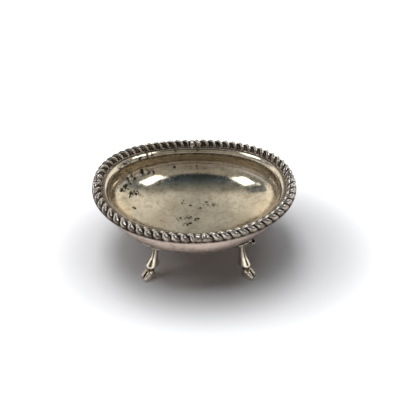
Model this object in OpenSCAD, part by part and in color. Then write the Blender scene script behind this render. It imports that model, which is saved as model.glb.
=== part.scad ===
// Oval footed salt: a raised bowl, a gadrooned border cast in four sections, four hoof legs and four shell plates.
// The origin is on the table under the middle of the bowl, the long side runs along X and Z is up.

/* [Border] */
// Length of the salt over its border
rim_length = 86; // [82:0.5:92]
// Width of the salt over its border
rim_width = 66.2; // [63:0.1:70]
// Fullness of the border's oval, where 2 is a plain ellipse
rim_fullness = 2.13; // [2:0.01:2.3]
// Level of the border's underside at the middle of a long side
border_base = 35.3; // [34.5:0.1:37]
// How much higher the two ends of the oval stand than its sides
end_rise = 3.2; // [0:0.1:4]
// Width of the border, from its outer edge to the neck of the bowl
border_w = 4.8; // [4.4:0.1:5.2]
// Width of the plain channel between the lobes and the neck
channel_w = 0.7; // [0.5:0.05:0.9]
// Depth of the channel below the foot of the lobes
channel_depth = 0.45; // [0.2:0.05:0.5]
// Height of the plain fillet under the lobes
fillet_h = 0.8; // [0.6:0.1:1.2]
// Height of the lobes above the fillet
crown_h = 2.6; // [2:0.1:3]
// Step from the fillet's edge in to the lobes
ledge = 0.1; // [0.1:0.05:0.3]
// Depth of the hollows between the lobes at the crown
hollow_depth = 1; // [0.5:0.05:1.1]
// Lobes on each cast section
lobes = 16; // [12:1:20]
// Plain length left at each end of a section for its butt joint
butt_plain = 0.87; // [0.6:0.01:1.2]
// How far each lobe leans along the border, from its inner to its outer end
lobe_lean = 3.1; // [0:0.1:3.5]

/* [Bowl] */
// Thickness of the silver sheet
sheet = 0.9; // [0.7:0.05:1.2]
// Length of the belly at its widest
belly_length = 80; // [76:0.5:84]
// Width of the belly at its widest
belly_width = 60; // [57:0.5:63]
// Level at which the belly is widest
belly_level = 31; // [29.5:0.1:32]
// Level of the bowl's underside at its middle
bowl_bottom = 14.1; // [12.5:0.1:16]
// Fullness of the belly's oval in plan
belly_fullness = 1.95; // [1.85:0.01:2.1]
// Fullness of the bowl's curve from belly to bottom
depth_fullness = 2.16; // [2:0.01:2.5]
// Level of the crease inside, where the shoulder turns up into the flared neck, at the middle of a long side
crease_level = 33.9; // [33.2:0.1:34.2]
// How far the neck flares out in plan, from the crease to the border
flare_w = 1.6; // [1.3:0.05:1.9]
// Height of the lip above the border's underside
lip_h = 0.6; // [0.5:0.05:1.1]
// Width of the lip's flat edge
lip_w = 0.5; // [0.4:0.05:0.7]

/* [Legs] */
// Distance of a right leg's top from the middle, along the bowl
right_leg_x = 19.5; // [17.5:0.1:20.5]
// Distance of a right leg's top from the middle, across the bowl
right_leg_y = 17.8; // [16:0.1:18.5]
// Distance of a left leg's top from the middle, along the bowl
left_leg_x = 17.1; // [16:0.1:20]
// Distance of a left leg's top from the middle, across the bowl
left_leg_y = 16.8; // [15:0.1:18]
// Direction in which the hooves point, from the long axis
leg_turn = 34; // [28:1:50]
// How far the toe stands out from the leg's top
toe_reach = 8.2; // [7:0.1:9.5]
// Width of the shank at its slimmest
shank_w = 2.7; // [2.4:0.1:3.2]
// Width of the fetlock
fetlock_w = 4.8; // [4:0.1:5.2]
// Level of the fetlock above the table
fetlock_level = 7; // [6.2:0.1:8]
// Length of a hoof
hoof_l = 6.5; // [5.8:0.1:7]
// Width of a hoof across both claws
hoof_w = 5; // [4.4:0.1:5.4]
// Height of a hoof
hoof_h = 4.2; // [3.6:0.1:4.6]
// Opening of the cleft at the toe
cleft = 1; // [0.6:0.05:1.4]

/* [Leg plates] */
// Thickness of a shell plate
plate_t = 0.5; // [0.4:0.05:0.7]
// Width of a shell plate at its widest
plate_w = 10.2; // [8:0.1:11]
// How far a shell plate runs up the belly from the leg, in plan
plate_reach = 5.6; // [5:0.1:6]
// How far a shell plate runs under the bowl from the leg, in plan
plate_tail = 2.6; // [2:0.1:3.2]
// Direction in which the shell plates fan out, from the long axis
plate_turn = 57; // [48:1:64]
// Depth of the scallops along the shell's edge
scallop = 0.55; // [0.3:0.05:0.8]
// Lift of the shell's corners off the belly
plate_lift = 0.3; // [0.15:0.05:0.5]
// Lift of the corner that has sprung on the front right plate
sprung_lift = 1.5; // [0.4:0.05:1.6]

/* [Hidden] */

// Film of solder left between pieces that are joined
solder = 0.08;
// Facets
bowl_sides = 64;
belly_rings = 8;
shoulder_rings = 3;
shoulder_angle = 60;
lobe_steps = 6;
crown_steps = 5;
leg_sides = 12;
plate_columns = 10;
plate_rows = 4;
arc_steps = 360;
// Short run over which a slope is measured
slope_run = 0.01;
// The belly's curve is cut off just short of its widest, and its innermost ring closes the bottom
widest_share = 0.985;
innermost_share = 0.08;

rim_l2 = rim_length / 2;
rim_w2 = rim_width / 2;
belly_l2 = belly_length / 2;
belly_w2 = belly_width / 2;
bowl_sink = belly_level - bowl_bottom;
neck_inset = border_w + solder;
crown_base = border_base + fillet_h;
lip_level = border_base + lip_h;
lip_round = lip_w / 2;
lobe_zone_w = border_w - channel_w - ledge;
channel_level = crown_base - channel_depth;
// At the crease the sheet's outside lies higher than its inside by this share of the sheet
bend_share = 0.6;

// Ovals and levels
function signed_power(v, k) = sign(v) * pow(abs(v), k);
function oval(l2, w2, fullness, t) =
    [l2 * signed_power(cos(t), 2 / fullness), w2 * signed_power(sin(t), 2 / fullness)];
function rise_at(x) = end_rise * pow(x / rim_l2, 2);
function lifted(p, z) = [p.x, p.y, z + rise_at(p.x)];
function mix(a, b, k) = a + (b - a) * k;
function within(v, low, high) = max(low, min(high, v));

// Level of the bowl's outside below the belly, over any point of the plan
function plan_share(x, y) =
    pow(pow(abs(x) / belly_l2, belly_fullness) + pow(abs(y) / belly_w2, belly_fullness), 1 / belly_fullness);
function belly_at(x, y) =
    belly_level + rise_at(x)
    - bowl_sink * pow(1 - pow(min(plan_share(x, y), widest_share), depth_fullness), 1 / depth_fullness);
function slope_x(x, y) = (belly_at(x + slope_run, y) - belly_at(x - slope_run, y)) / (2 * slope_run);
function slope_y(x, y) = (belly_at(x, y + slope_run) - belly_at(x, y - slope_run)) / (2 * slope_run);
// Height that a layer takes on the sloping belly, for each unit of its thickness
function steepness(x, y) = norm([1, slope_x(x, y), slope_y(x, y)]);

// A closed skin over a run of rings, each with the same number of points, capped at its two ends
function middle(ring) = [for (i = [0 : 2]) [for (p = ring) p[i]] * [for (p = ring) 1 / len(ring)]];
module skin(rings) {
    n = len(rings[0]);
    last = len(rings) - 1;
    first_cap = len(rings) * n;
    points = concat([for (ring = rings) each ring], [middle(rings[0]), middle(rings[last])]);
    sides = [for (r = [0 : last - 1], i = [0 : n - 1])
        let (a = r * n + i, b = r * n + (i + 1) % n, c = b + n, d = a + n)
        each [[a, b, c], [a, c, d]]];
    caps = [for (i = [0 : n - 1])
        each [[first_cap, (i + 1) % n, i],
              [first_cap + 1, last * n + i, last * n + (i + 1) % n]]];
    polyhedron(points = points, faces = concat(sides, caps), convexity = 6);
}

// The bowl's wall as a run of ovals, from the underside up over the lip and down the inside
function bowl_ring(l2, w2, fullness, z) =
    [for (i = [0 : bowl_sides - 1]) lifted(oval(l2, w2, fullness, -360 * i / bowl_sides), z)];
function belly_ring(wall, angle) =
    let (wide = pow(cos(angle), 2 / depth_fullness), deep = pow(sin(angle), 2 / depth_fullness))
    bowl_ring((belly_l2 - wall) * wide, (belly_w2 - wall) * wide, belly_fullness,
              belly_level - (bowl_sink - wall) * deep);
function bottom_angle() = acos(pow(innermost_share, depth_fullness / 2));
function belly_rings_up(wall) =
    [for (i = [0 : belly_rings]) belly_ring(wall, bottom_angle() * (1 - i / belly_rings))];
function neck_ring(inset, z) =
    bowl_ring(rim_l2 - neck_inset - inset, rim_w2 - neck_inset - inset, rim_fullness, z);
function shoulder_up(wall, crease_inset, level) =
    [for (i = [1 : shoulder_rings])
        let (angle = shoulder_angle * i / shoulder_rings,
             e = (1 - cos(angle)) / (1 - cos(shoulder_angle)),
             up = sin(angle) / sin(shoulder_angle))
        bowl_ring(mix(belly_l2 - wall, rim_l2 - neck_inset - crease_inset, e),
                  mix(belly_w2 - wall, rim_w2 - neck_inset - crease_inset, e),
                  mix(belly_fullness, rim_fullness, e), mix(belly_level, level, up))];
function wall_up(wall, crease_inset, level) =
    concat(belly_rings_up(wall), shoulder_up(wall, crease_inset, level));
function reversed(list) = [for (i = [len(list) - 1 : -1 : 0]) list[i]];

module bowl() {
    lip = [neck_ring(0, border_base), neck_ring(0, lip_level - lip_round), neck_ring(lip_round, lip_level),
           neck_ring(lip_w, lip_level)];
    color("silver")
        skin(concat(wall_up(0, flare_w - sheet, crease_level + bend_share * sheet), lip,
                    reversed(wall_up(sheet, flare_w, crease_level))));
}

// Length along the middle of the border against the oval's angle, to space the lobes evenly
function border_middle(t) = lifted(oval(rim_l2 - border_w / 2, rim_w2 - border_w / 2, rim_fullness, t), 0);
arc_table = [for (i = 0, s = 0; i <= arc_steps;
                  s = s + norm(border_middle(360 * (i + 1) / arc_steps) - border_middle(360 * i / arc_steps)),
                  i = i + 1) [s, 360 * i / arc_steps]];
section_l = arc_table[arc_steps][0] / 4;
lobe_pitch = (section_l - 2 * butt_plain) / lobes;

// Share of the full hollow at a place between two grooves: 1 in the groove and 0 on the crest. The lobes touch at
// their outer ends and taper to this share of the pitch at their inner ends.
inner_lobe_share = 0.5;
function groove_share(phase, across) =
    1 - sqrt(max(0, 1 - pow(min(1, abs(2 * phase - 1) / mix(1, inner_lobe_share, across)), 2)));
function end_fade(place) = within(min(place - butt_plain, section_l - butt_plain - place) / lobe_pitch, 0, 1);
// One cross-section: flat underside, plain fillet, the lobed crown from its outer to its inner foot, and the channel
function border_ring(start, place, phase) =
    let (fade = end_fade(place),
         crown = [for (j = [0 : crown_steps])
            let (angle = 180 * j / crown_steps,
                 groove = phase == undef ? 0.5 : groove_share(phase, j / crown_steps),
                 cut = hollow_depth * groove * (1 + sin(angle)) / 2,
                 half = lobe_zone_w / 2 - cut)
            [ledge + lobe_zone_w / 2 - half * cos(angle), crown_base + (crown_h - cut) * sin(angle), j / crown_steps]],
         outline = concat([[border_w, border_base, 1], [0, border_base, 0], [0, crown_base, 0]], crown,
                          [[ledge + lobe_zone_w, channel_level, 1], [border_w, channel_level, 1]]))
    [for (q = outline)
        let (along = within(place + fade * lobe_lean * (0.5 - q[2]), 0, section_l),
             t = lookup(start + along, arc_table))
        lifted(oval(rim_l2 - q[0], rim_w2 - q[0], rim_fullness, t), q[1])];

module border_section(quarter) {
    start = quarter * section_l;
    butts = [solder / 2, section_l - solder / 2];
    steps = lobes * lobe_steps;
    color("darkgray")
        skin(concat([border_ring(start, butts[0], undef)],
                    [for (i = [0 : steps])
                        border_ring(start, butt_plain + lobe_pitch * i / lobe_steps, (i % lobe_steps) / lobe_steps)],
                    [border_ring(start, butts[1], undef)]));
}

// Under the shell plate and at the leg's top, where the plate stays down over the middle share of its width
hinge_share = 0.3;
function plate_gap(u, v, lift_minus, lift_plus) =
    solder + (u < 0 ? lift_minus : lift_plus) * max(0, abs(u) - hinge_share) / (1 - hinge_share) * v;
function plate_under(x, y) = belly_at(x, y) - (2 * solder + plate_t) * steepness(x, y);

// Stations down the leg: shares of the way from fetlock to top, of the toe's reach, of the width from shank to
// fetlock, and of the tilt of the belly above
shank_shares = [
    [1.00, 0.00, 0.50, 1.0],
    [0.84, 0.02, 0.15, 0.45],
    [0.62, 0.07, 0.00, 0.0],
    [0.38, 0.15, 0.15, 0.0],
    [0.18, 0.26, 0.55, 0.0],
    [0.02, 0.34, 1.00, 0.0]];
// Stations from the fetlock down into the hoof: shares of the way from hoof to fetlock, of the reach and width
pastern_shares = [
    [0.84, 0.36, 0.95],
    [0.68, 0.37, 0.10],
    [0.25, 0.40, 0.00],
    [-0.10, 0.43, 0.30],
    [-0.50, 0.46, 0.20]];
// A little deeper, front to back, than wide, with a heel that swells behind the fetlock
depth_share = 1.06;
heel_share = 0.26;

function leg_ring(foot, out, half, z, tilt, heel) =
    let (top = plate_under(foot.x, foot.y))
    [for (i = [0 : leg_sides - 1])
        let (angle = 360 * i / leg_sides,
             back = max(0, -cos(angle)),
             r = out + half * depth_share * cos(angle) - heel * back,
             w = half * sin(angle),
             x = foot.x + r * cos(leg_turn) - w * sin(leg_turn),
             y = foot.y + r * sin(leg_turn) + w * cos(leg_turn))
        [x, y, z + tilt * (plate_under(x, y) - top)]];
function shank_ring(foot, s) =
    leg_ring(foot, toe_reach * s[1], mix(shank_w, fetlock_w, s[2]) / 2,
             mix(fetlock_level, plate_under(foot.x, foot.y), s[0]), s[3],
             fetlock_w * heel_share * (s[3] > 0 ? 0 : s[2]));
function pastern_ring(foot, s) =
    leg_ring(foot, toe_reach * s[1], mix(shank_w, fetlock_w, s[2]) / 2, mix(hoof_h, fetlock_level, s[0]), 0,
             fetlock_w * heel_share * s[2]);

// Outline of one claw at the sole, as shares of the hoof's length from the toe back and of its half width, with
// the cleft's side first
claw_shares = [[0.02, 0.24], [0.14, 0.03], [0.55, 0.00], [0.96, 0.00], [1.00, 0.45], [0.80, 0.92], [0.42, 1.00],
               [0.10, 0.74]];
// Stations up the claw: shares of the height, of the length kept, and of the width kept
claw_levels_shares = [[0.00, 0.97, 0.94], [0.12, 1.00, 1.00], [0.50, 0.86, 0.95], [0.82, 0.68, 0.78],
    [1.00, 0.52, 0.45]];
heel_lean_share = 0.06;
function claw_ring(s) =
    [for (q = claw_shares)
        let (back = hoof_l * (1 - s[1] * (1 - q[0]) - heel_lean_share * s[0]),
             spread = max(0, 1 - q[0]) * cleft / 2,
             w = spread + (hoof_w - cleft) / 2 * s[2] * q[1])
        [toe_reach - back, w, hoof_h * s[0]]];

module claw() {
    skin([for (s = claw_levels_shares) claw_ring(s)]);
}

module leg(foot) {
    translate([foot.x, foot.y, 0])
        rotate(leg_turn) {
            claw();
            mirror([0, 1, 0])
                claw();
        }
    skin(concat([for (s = shank_shares) shank_ring(foot, s)], [for (s = pastern_shares) pastern_ring(foot, s)]));
}

// A shell-shaped plate that hugs the belly, fans out above the leg and ends in scallops
plate_width_shares = [0.42, 0.66, 0.9, 1.0, 0.92];
scallops = 5;
function plate_edge(u) = scallop * (abs(cos(90 * scallops * u)) - 1) - scallop * u * u;
function plate_point(foot, u, v) =
    let (half = plate_w / 2 * lookup(v * plate_rows, [for (i = [0 : plate_rows]) [i, plate_width_shares[i]]]),
         out = mix(-plate_tail, plate_reach + plate_edge(u), v) - v * plate_tail * u * u / 2,
         x = foot.x + out * cos(plate_turn) - u * half * sin(plate_turn),
         y = foot.y + out * sin(plate_turn) + u * half * cos(plate_turn))
    [x, y];
function plate_face(foot, lift_minus, lift_plus, depth) =
    [for (j = [0 : plate_rows], i = [0 : plate_columns])
        let (u = 2 * i / plate_columns - 1, v = j / plate_rows, p = plate_point(foot, u, v))
        [p.x, p.y, belly_at(p.x, p.y) - (plate_gap(u, v, lift_minus, lift_plus) + depth) * steepness(p.x, p.y)]];

module shell_plate(foot, lift_minus, lift_plus) {
    wide = plate_columns + 1;
    count = wide * (plate_rows + 1);
    top = [for (j = [0 : plate_rows - 1], i = [0 : plate_columns - 1])
        let (a = j * wide + i)
        each [[a, a + wide, a + wide + 1], [a, a + wide + 1, a + 1]]];
    under = [for (f = top) [f[2] + count, f[1] + count, f[0] + count]];
    edge = concat([for (i = [0 : plate_columns - 1]) i],
                  [for (j = [0 : plate_rows - 1]) j * wide + plate_columns],
                  [for (i = [plate_columns : -1 : 1]) plate_rows * wide + i],
                  [for (j = [plate_rows : -1 : 1]) j * wide]);
    wall = [for (k = [0 : len(edge) - 1])
        let (a = edge[k], b = edge[(k + 1) % len(edge)])
        each [[a, b, b + count], [a, b + count, a + count]]];
    polyhedron(points = concat(plate_face(foot, lift_minus, lift_plus, 0),
                               plate_face(foot, lift_minus, lift_plus, plate_t)),
               faces = concat(top, under, wall), convexity = 4);
}

// Where the legs' tops stand on the back half; each corner is turned from there to its own place
right_foot = [right_leg_x, right_leg_y];
left_foot = [left_leg_x, left_leg_y];

module to_front() mirror([0, 1, 0]) children();
module to_left() mirror([1, 0, 0]) children();

bowl();
border_section(0);  // border_back_right
border_section(1);  // border_back_left
border_section(2);  // border_front_left
border_section(3);  // border_front_right
color("silver") leg(right_foot);  // leg_back_right
color("silver") to_front() leg(right_foot);  // leg_front_right
color("silver") to_left() leg(left_foot);  // leg_back_left
color("silver") to_front() to_left() leg(left_foot);  // leg_front_left
color("gainsboro") shell_plate(right_foot, plate_lift, plate_lift);  // shell_plate_back_right
color("gainsboro") to_front() shell_plate(right_foot, sprung_lift, plate_lift);  // shell_plate_front_right
color("gainsboro") to_left() shell_plate(left_foot, plate_lift, plate_lift);  // shell_plate_back_left
color("gainsboro") to_front() to_left() shell_plate(left_foot, plate_lift, plate_lift);  // shell_plate_front_left
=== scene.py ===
import math

import bpy
import numpy as np
from mathutils import Matrix, Vector, noise


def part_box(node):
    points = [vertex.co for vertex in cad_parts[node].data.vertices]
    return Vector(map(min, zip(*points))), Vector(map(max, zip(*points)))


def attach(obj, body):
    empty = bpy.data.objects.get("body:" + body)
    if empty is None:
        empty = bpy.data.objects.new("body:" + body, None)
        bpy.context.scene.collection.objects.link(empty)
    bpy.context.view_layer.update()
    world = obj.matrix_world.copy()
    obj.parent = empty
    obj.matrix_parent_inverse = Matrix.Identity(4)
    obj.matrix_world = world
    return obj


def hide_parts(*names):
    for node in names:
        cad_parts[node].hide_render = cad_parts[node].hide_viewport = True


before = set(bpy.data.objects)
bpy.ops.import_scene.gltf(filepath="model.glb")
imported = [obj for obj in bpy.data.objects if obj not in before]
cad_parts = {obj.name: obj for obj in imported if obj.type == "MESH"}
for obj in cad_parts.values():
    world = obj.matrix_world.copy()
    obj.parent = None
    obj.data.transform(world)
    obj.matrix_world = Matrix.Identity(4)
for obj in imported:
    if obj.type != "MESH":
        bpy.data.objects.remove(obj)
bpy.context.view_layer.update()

mm = 0.001
print("frame loaded:", len(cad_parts), "nodes")


# Small tools for the bench

def deselectAll():
    if bpy.context.object and bpy.context.object.mode != "OBJECT":
        bpy.ops.object.mode_set(mode="OBJECT")
    bpy.ops.object.select_all(action="DESELECT")


def pick(piece):
    deselectAll()
    piece.select_set(True)
    bpy.context.view_layer.objects.active = piece


def points(piece):
    found = np.zeros(len(piece.data.vertices) * 3)
    piece.data.vertices.foreach_get("co", found)
    return found.reshape(-1, 3)


def setPoints(piece, places):
    piece.data.vertices.foreach_set("co", np.asarray(places, np.float32).ravel())
    piece.data.update()


def mergeAndTurnOut(piece, gap=0.002 * mm):
    # welds what lies on the same spot and makes every face look outwards
    pick(piece)
    bpy.ops.object.mode_set(mode="EDIT")
    bpy.ops.mesh.select_all(action="SELECT")
    bpy.ops.mesh.remove_doubles(threshold=gap)
    bpy.ops.mesh.normals_make_consistent(inside=False)
    bpy.ops.object.mode_set(mode="OBJECT")


def applyModifier(piece, kind, **settings):
    pick(piece)
    modifier = piece.modifiers.new(kind.lower(), kind)
    for key, value in settings.items():
        setattr(modifier, key, value)
    bpy.ops.object.modifier_apply(modifier=modifier.name)


def keepShare(piece, name, values):
    # a value from 0 to 1 at each point, for the piece's material to read
    made = piece.data.attributes.new(name, "FLOAT", "POINT")
    made.data.foreach_set("value", np.asarray(values, np.float32))


def mirrored(piece, name, flipX, flipY):
    made = piece.copy()
    made.data = piece.data.copy()
    made.name = name
    made.data.name = name
    bpy.context.scene.collection.objects.link(made)
    made.data.transform(Matrix.Diagonal((-1 if flipX else 1, -1 if flipY else 1, 1, 1)))
    if flipX != flipY:
        made.data.flip_normals()
    return made


def hexColour(code):
    # sRGB hex to the linear values that a shader takes
    parts = [int(code[i:i + 2], 16) / 255 for i in (0, 2, 4)]
    return [p / 12.92 if p <= 0.04045 else ((p + 0.055) / 1.055) ** 2.4 for p in parts] + [1]


def addNode(tree, kind, settings=None, *values, **links):
    # one node with its settings, among them a ramp's stops; its sockets, in order or by name, each get a value, an
    # output, or the first output in use of another node
    made = tree.nodes.new("ShaderNode" + kind)
    for key, value in (settings or {}).items():
        if key == "stops":
            while len(made.color_ramp.elements) < len(value):
                made.color_ramp.elements.new(1)
            for stop, (place, colour) in zip(made.color_ramp.elements, value):
                stop.position = place
                stop.color = hexColour(colour)
        else:
            setattr(made, key, value)
    sockets = [socket for socket in made.inputs if socket.enabled][:len(values)]
    sockets += [made.inputs[name.replace("_", " ")] for name in links]
    for socket, value in zip(sockets, [*values, *links.values()]):
        if isinstance(value, bpy.types.Node):
            value = next(output for output in value.outputs if output.enabled)
        if isinstance(value, bpy.types.NodeSocket):
            tree.links.new(value, socket)
        else:
            socket.default_value = value
    return made


def cavityShare(piece, depth, rounds):
    # how far each point lies below the average of its neighbours, as a share of the given depth
    places = points(piece)
    normals = np.zeros(len(places) * 3)
    piece.data.vertices.foreach_get("normal", normals)
    ends = np.zeros(len(piece.data.edges) * 2, int)
    piece.data.edges.foreach_get("vertices", ends)
    a, b = ends.reshape(-1, 2).T
    count = np.bincount(np.concatenate([a, b]), minlength=len(places))[:, None]
    level = places.copy()
    for i in range(rounds):
        total = np.zeros_like(level)
        np.add.at(total, a, level[b])
        np.add.at(total, b, level[a])
        level = total / count
    sunk = np.einsum("ij,ij->i", level - places, normals.reshape(-1, 3)) / depth
    return np.clip(sunk, 0, 1)


def wrappedStrip(name, columns, around):
    # a grid whose two long edges meet, as a tube has, with each point's column and place round the tube
    deselectAll()
    bpy.ops.mesh.primitive_grid_add(x_subdivisions=columns - 1, y_subdivisions=around, size=2)
    piece = bpy.context.object
    piece.name = name
    flat = points(piece)
    column = np.rint((flat[:, 0] + 1) / 2 * (columns - 1)).astype(int)
    row = np.rint((flat[:, 1] + 1) / 2 * around).astype(int) % around
    return piece, column, row


def closeStrip(piece, angle):
    # welds the long edges, fills both ends and turns the faces outwards
    pick(piece)
    bpy.ops.object.mode_set(mode="EDIT")
    bpy.ops.mesh.select_all(action="SELECT")
    bpy.ops.mesh.remove_doubles(threshold=0.001 * mm)
    bpy.ops.mesh.select_all(action="DESELECT")
    bpy.ops.mesh.select_non_manifold()
    bpy.ops.mesh.edge_face_add()
    bpy.ops.mesh.select_all(action="SELECT")
    bpy.ops.mesh.normals_make_consistent(inside=False)
    bpy.ops.object.mode_set(mode="OBJECT")
    bpy.ops.object.shade_smooth_by_angle(angle=math.radians(angle))


def mix(a, b, share):
    return a + (b - a) * share


def smoothStep(values):
    held = np.clip(values, 0, 1)
    return held * held * (3 - 2 * held)


# The salt's own curves, in metres in the frame of the solids

bowlSize = {
    "rimFullness": 2.13,
    "endRise": 3.2 * mm,
    "bellyLength": 80 * mm,
    "bellyWidth": 60 * mm,
    "bellyLevel": 31 * mm,
    "bellyFullness": 1.95,
    "depthFullness": 2.16,
    "shareLimit": 0.985,
    "sheet": 0.9 * mm,
    "borderWidth": 4.8 * mm,
    "creaseLevel": 33.9 * mm,
    "bendShare": 0.6,
    "shoulderAngle": math.radians(60),
    "creaseRound": 0.4 * mm,
    "flare": 1.85 * mm,
    "flareRise": 0.25 * mm,
    "flareBow": 0.09 * mm,
    "lipHeight": 0.6 * mm,
    "lipFlat": 0.5 * mm,
    "lipRound": 0.2 * mm,
    "solder": 0.08 * mm,
    "sides": 240,
    "wallRings": 44,
    "shoulderRings": 9,
    "cornerSteps": 5,
    "bowRings": 6,
    # the film on the wall begins at this level and ends this far above the crease
    "filmStart": 24.9 * mm,
    "filmEnd": 0.6 * mm,
    # the hammer's waves die out over the fade below their end, which is measured down from the crease
    "hammerDepth": 0.06 * mm,
    "hammerSize": 9 * mm,
    "hammerEnd": 1 * mm,
    "hammerFade": 4 * mm,
}
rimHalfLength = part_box("border_back_right")[1].x
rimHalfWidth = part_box("border_back_right")[1].y
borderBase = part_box("border_back_right")[0].z
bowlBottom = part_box("bowl")[0].z
bellyHalfLength = bowlSize["bellyLength"] / 2
bellyHalfWidth = bowlSize["bellyWidth"] / 2
bowlSink = bowlSize["bellyLevel"] - bowlBottom


def signedPower(values, power):
    return np.sign(values) * np.abs(values) ** power


def oval(halfLength, halfWidth, fullness, angle):
    return (halfLength * signedPower(np.cos(angle), 2 / fullness),
            halfWidth * signedPower(np.sin(angle), 2 / fullness))


def riseAt(x):
    return bowlSize["endRise"] * (x / rimHalfLength) ** 2


def bellyAt(x, y):
    # level of the bowl's outside over a point of the plan; the limit keeps the slope finite at its edge
    power = bowlSize["bellyFullness"]
    share = (np.abs(x / bellyHalfLength) ** power + np.abs(y / bellyHalfWidth) ** power) ** (1 / power)
    share = np.minimum(share, bowlSize["shareLimit"])
    deep = bowlSize["depthFullness"]
    return bowlSize["bellyLevel"] + riseAt(x) - bowlSink * (1 - share ** deep) ** (1 / deep)


def steepness(x, y, run=0.01 * mm):
    # how much farther two faces a set distance apart stand on a slope, measured straight up
    slopeX = (bellyAt(x + run, y) - bellyAt(x - run, y)) / (2 * run)
    slopeY = (bellyAt(x, y + run) - bellyAt(x, y - run)) / (2 * run)
    return np.sqrt(1 + slopeX ** 2 + slopeY ** 2)


# Bowl: a profile spun round, then pressed into the oval with its raised ends

def neckStation(inset, level):
    inset += bowlSize["borderWidth"] + bowlSize["solder"]
    return np.array([rimHalfLength - inset, rimHalfWidth - inset, bowlSize["rimFullness"], level])


def wallStations(wall, crease):
    # half length, half width, fullness and level from the bottom's middle up to just short of the crease
    size = bowlSize
    stations = []
    for i in range(size["wallRings"] + 1):
        angle = math.pi / 2 * (1 - (i / size["wallRings"]) ** 0.9)
        wide = max(0, math.cos(angle)) ** (2 / size["depthFullness"]) if i else 0
        deep = math.sin(angle) ** (2 / size["depthFullness"]) if i < size["wallRings"] else 0
        stations.append(np.array([(bellyHalfLength - wall) * wide, (bellyHalfWidth - wall) * wide,
                                  size["bellyFullness"], size["bellyLevel"] - (bowlSink - wall) * deep]))
    belly = stations[-1]
    full = size["shoulderAngle"]
    for i in range(1, size["shoulderRings"]):
        angle = full * i / size["shoulderRings"]
        inward = (1 - math.cos(angle)) / (1 - math.cos(full))
        stations.append(belly + (crease - belly) * np.array([inward] * 3 + [math.sin(angle) / math.sin(full)]))
    return stations


def rounded(before, corner, after, reach):
    # stations round a corner of the profile, starting and ending at the reach from it
    ends = [corner + (other - corner) * reach / math.hypot(other[1] - corner[1], other[3] - corner[3])
            for other in (before, after)]
    stations = []
    for i in range(bowlSize["cornerSteps"] + 1):
        t = i / bowlSize["cornerSteps"]
        stations.append((1 - t) ** 2 * ends[0] + 2 * t * (1 - t) * corner + t ** 2 * ends[1])
    return stations


def bowlProfile():
    # up the outside, over the lip and down the inside, and how many of the stations are outside
    size = bowlSize
    top = borderBase + size["lipHeight"]
    level = size["creaseLevel"] + size["flareRise"]
    outerCrease = neckStation(size["flare"] - size["sheet"], level + size["bendShare"] * size["sheet"])
    innerCrease = neckStation(size["flare"], level)
    seat, edge, flat = neckStation(0, borderBase), neckStation(0, top), neckStation(size["lipFlat"], top)
    outer = wallStations(0, outerCrease)
    inner = wallStations(size["sheet"], innerCrease)
    outside = (outer + rounded(outer[-1], outerCrease, seat, size["creaseRound"])
               + rounded(outerCrease, seat, edge, size["lipRound"]) + rounded(seat, edge, flat, size["lipRound"]))
    # the neck's inner face is bowed a little, so that a band of it catches the light
    rim = rounded(edge, flat, innerCrease, size["lipRound"])
    bend = rounded(flat, innerCrease, inner[-1], size["creaseRound"])
    bow = []
    for i in range(1, size["bowRings"]):
        t = i / size["bowRings"]
        out = size["flareBow"] * 4 * t * (1 - t)
        bow.append((1 - t) * rim[-1] + t * bend[0] - np.array([out, out, 0, -out]) * math.sqrt(0.5))
    inside = rim + bow + bend + inner[::-1]
    return np.array(outside + inside), len(outside)


def buildBowl():
    size = bowlSize
    stations, inside = bowlProfile()
    deselectAll()
    bpy.ops.mesh.primitive_circle_add(vertices=len(stations), radius=1, fill_type="NOTHING")
    piece = bpy.context.object
    piece.name = "silver_bowl"
    setPoints(piece, [(s[1], 0, s[3]) for s in stations])
    bpy.ops.object.mode_set(mode="EDIT")
    bpy.ops.mesh.select_mode(type="EDGE")
    bpy.ops.mesh.select_all(action="DESELECT")
    bpy.ops.object.mode_set(mode="OBJECT")
    for edge in piece.data.edges:
        edge.select = set(edge.vertices) == {0, len(stations) - 1}
    bpy.ops.object.mode_set(mode="EDIT")
    bpy.ops.mesh.delete(type="EDGE")
    bpy.ops.mesh.select_mode(type="VERT")
    bpy.ops.mesh.select_all(action="SELECT")
    bpy.ops.mesh.spin(steps=size["sides"], angle=2 * math.pi, center=(0, 0, 0), axis=(0, 0, 1))
    bpy.ops.object.mode_set(mode="OBJECT")
    spun = points(piece)
    radius = np.hypot(spun[:, 0], spun[:, 1])
    nearest = np.argmin(np.abs(radius[:, None] - stations[:, 1]) + np.abs(spun[:, 2, None] - stations[:, 3]), axis=1)
    s = stations[nearest]
    x, y = oval(s[:, 0], s[:, 1], s[:, 2], np.arctan2(spun[:, 1], spun[:, 0]))
    z = s[:, 3] + riseAt(x)
    # the sheet was raised with a hammer, so both its sides wander together
    low = (size["creaseLevel"] - size["hammerEnd"] - s[:, 3]) / size["hammerFade"]
    low = size["hammerDepth"] * np.clip(low, 0, 1)
    wave = np.array([noise.noise(Vector((a, b, c)) / size["hammerSize"]) for a, b, c in zip(x, y, z)])
    setPoints(piece, np.stack([x, y, z + low * wave], axis=1))
    keepShare(piece, "inside", nearest >= inside)
    # 0 low on the wall and 1 in the crease below the neck
    up = np.clip((s[:, 3] - size["filmStart"]) / (size["creaseLevel"] - size["filmStart"]), 0, 1)
    keepShare(piece, "upWall", np.where(s[:, 3] < size["creaseLevel"] + size["filmEnd"], up, 0))
    mergeAndTurnOut(piece)
    bpy.ops.object.shade_smooth()
    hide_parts("bowl")
    return piece


# Border: one lobe drawn upright, repeated along a cast section, leaned and laid on the oval

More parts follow.
